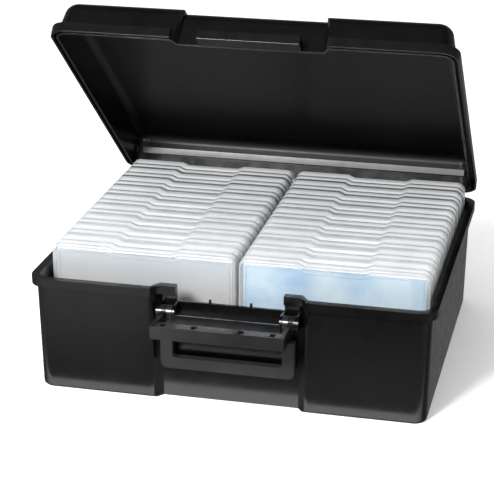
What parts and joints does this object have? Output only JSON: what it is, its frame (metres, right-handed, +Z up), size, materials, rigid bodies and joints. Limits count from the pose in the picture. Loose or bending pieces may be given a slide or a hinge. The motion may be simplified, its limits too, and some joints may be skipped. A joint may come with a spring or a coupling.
{
  "type": "photo keeper case",
  "caption": "Carrying case with a hinged cover, a hooked latch flap and a bail handle, holding two rows of slim clear keepers with stacks of photo prints.",
  "frame": {"origin": "middle of the tub's underside, on the plane that it rests on", "axes": "+Z up, -Y to the front with the latch and the handle, +X to the right seen from the front"},
  "size_m": [0.35, 0.3491, 0.3183],
  "materials": {
    "tub_plastic": "black polypropylene, satin gloss",
    "cover_plastic": "black polypropylene, satin gloss",
    "latch_plastic": "black polypropylene, satin gloss",
    "handle_plastic": "black polypropylene, satin gloss",
    "pin_plastic": "black acetal",
    "pin_steel": "drawn steel wire",
    "keeper_clear": "clear polypropylene, frosted by its moulding",
    "photo_prints": "coated photo paper with white cut edges"
  },
  "bodies": {
    "base": {"base_shell": "tub_plastic", "lid_hinge_pins": "pin_steel", "front_pins": "pin_plastic"},
    "lid": {"lid_shell": "cover_plastic"},
    "latch": {"latch_flap": "latch_plastic"},
    "handle": {"carry_handle": "handle_plastic"},
    "keeper_left_1": {"tray_left_1": "keeper_clear", "cover_left_1": "keeper_clear", "photos_left_1": "photo_prints"},
    "keeper_left_2": {"tray_left_2": "keeper_clear", "cover_left_2": "keeper_clear", "photos_left_2": "photo_prints"},
    "keeper_left_3": {"tray_left_3": "keeper_clear", "cover_left_3": "keeper_clear", "photos_left_3": "photo_prints"},
    "keeper_left_4": {"tray_left_4": "keeper_clear", "cover_left_4": "keeper_clear", "photos_left_4": "photo_prints"},
    "keeper_left_5": {"tray_left_5": "keeper_clear", "cover_left_5": "keeper_clear", "photos_left_5": "photo_prints"},
    "keeper_left_6": {"tray_left_6": "keeper_clear", "cover_left_6": "keeper_clear", "photos_left_6": "photo_prints"},
    "keeper_left_7": {"tray_left_7": "keeper_clear", "cover_left_7": "keeper_clear", "photos_left_7": "photo_prints"},
    "keeper_left_8": {"tray_left_8": "keeper_clear", "cover_left_8": "keeper_clear", "photos_left_8": "photo_prints"},
    "keeper_left_9": {"tray_left_9": "keeper_clear", "cover_left_9": "keeper_clear", "photos_left_9": "photo_prints"},
    "keeper_right_1": {"tray_right_1": "keeper_clear", "cover_right_1": "keeper_clear", "photos_right_1": "photo_prints"},
    "keeper_right_2": {"tray_right_2": "keeper_clear", "cover_right_2": "keeper_clear", "photos_right_2": "photo_prints"},
    "keeper_right_3": {"tray_right_3": "keeper_clear", "cover_right_3": "keeper_clear", "photos_right_3": "photo_prints"},
    "keeper_right_4": {"tray_right_4": "keeper_clear", "cover_right_4": "keeper_clear", "photos_right_4": "photo_prints"},
    "keeper_right_5": {"tray_right_5": "keeper_clear", "cover_right_5": "keeper_clear", "photos_right_5": "photo_prints"},
    "keeper_right_6": {"tray_right_6": "keeper_clear", "cover_right_6": "keeper_clear", "photos_right_6": "photo_prints"},
    "keeper_right_7": {"tray_right_7": "keeper_clear", "cover_right_7": "keeper_clear", "photos_right_7": "photo_prints"},
    "keeper_right_8": {"tray_right_8": "keeper_clear", "cover_right_8": "keeper_clear", "photos_right_8": "photo_prints"},
    "keeper_right_9": {"tray_right_9": "keeper_clear", "cover_right_9": "keeper_clear", "photos_right_9": "photo_prints"}
  },
  "joints": [
    {"name": "lid_hinge", "type": "hinge", "parent": "base", "child": "lid", "pos_m": [0, 0.1546, 0.103], "axis": [-1, 0, 0], "range_deg": [-40.5, 69.5]},
    {"name": "latch_pivot", "type": "hinge", "parent": "base", "child": "latch", "pos_m": [0, -0.145, 0.082], "axis": [1, 0, 0], "range_deg": [-90, 44]},
    {"name": "handle_pivot", "type": "hinge", "parent": "base", "child": "handle", "pos_m": [0, -0.145, 0.082], "axis": [1, 0, 0], "range_deg": [-44, 0]},
    {"name": "lift_left_1", "type": "slide", "parent": "base", "child": "keeper_left_1", "axis": [0, 0, 1], "range_m": [0, 0.105]},
    {"name": "lift_left_2", "type": "slide", "parent": "base", "child": "keeper_left_2", "axis": [0, 0, 1], "range_m": [0, 0.105]},
    {"name": "lift_left_3", "type": "slide", "parent": "base", "child": "keeper_left_3", "axis": [0, 0, 1], "range_m": [0, 0.105]},
    {"name": "lift_left_4", "type": "slide", "parent": "base", "child": "keeper_left_4", "axis": [0, 0, 1], "range_m": [0, 0.105]},
    {"name": "lift_left_5", "type": "slide", "parent": "base", "child": "keeper_left_5", "axis": [0, 0, 1], "range_m": [0, 0.105]},
    {"name": "lift_left_6", "type": "slide", "parent": "base", "child": "keeper_left_6", "axis": [0, 0, 1], "range_m": [0, 0.098]},
    {"name": "lift_left_7", "type": "slide", "parent": "base", "child": "keeper_left_7", "axis": [0, 0, 1], "range_m": [0, 0.075]},
    {"name": "lift_left_8", "type": "slide", "parent": "base", "child": "keeper_left_8", "axis": [0, 0, 1], "range_m": [0, 0.051]},
    {"name": "lift_left_9", "type": "slide", "parent": "base", "child": "keeper_left_9", "axis": [0, 0, 1], "range_m": [0, 0.028]},
    {"name": "lift_right_1", "type": "slide", "parent": "base", "child": "keeper_right_1", "axis": [0, 0, 1], "range_m": [0, 0.105]},
    {"name": "lift_right_2", "type": "slide", "parent": "base", "child": "keeper_right_2", "axis": [0, 0, 1], "range_m": [0, 0.105]},
    {"name": "lift_right_3", "type": "slide", "parent": "base", "child": "keeper_right_3", "axis": [0, 0, 1], "range_m": [0, 0.105]},
    {"name": "lift_right_4", "type": "slide", "parent": "base", "child": "keeper_right_4", "axis": [0, 0, 1], "range_m": [0, 0.105]},
    {"name": "lift_right_5", "type": "slide", "parent": "base", "child": "keeper_right_5", "axis": [0, 0, 1], "range_m": [0, 0.105]},
    {"name": "lift_right_6", "type": "slide", "parent": "base", "child": "keeper_right_6", "axis": [0, 0, 1], "range_m": [0, 0.098]},
    {"name": "lift_right_7", "type": "slide", "parent": "base", "child": "keeper_right_7", "axis": [0, 0, 1], "range_m": [0, 0.075]},
    {"name": "lift_right_8", "type": "slide", "parent": "base", "child": "keeper_right_8", "axis": [0, 0, 1], "range_m": [0, 0.051]},
    {"name": "lift_right_9", "type": "slide", "parent": "base", "child": "keeper_right_9", "axis": [0, 0, 1], "range_m": [0, 0.028]}
  ]
}
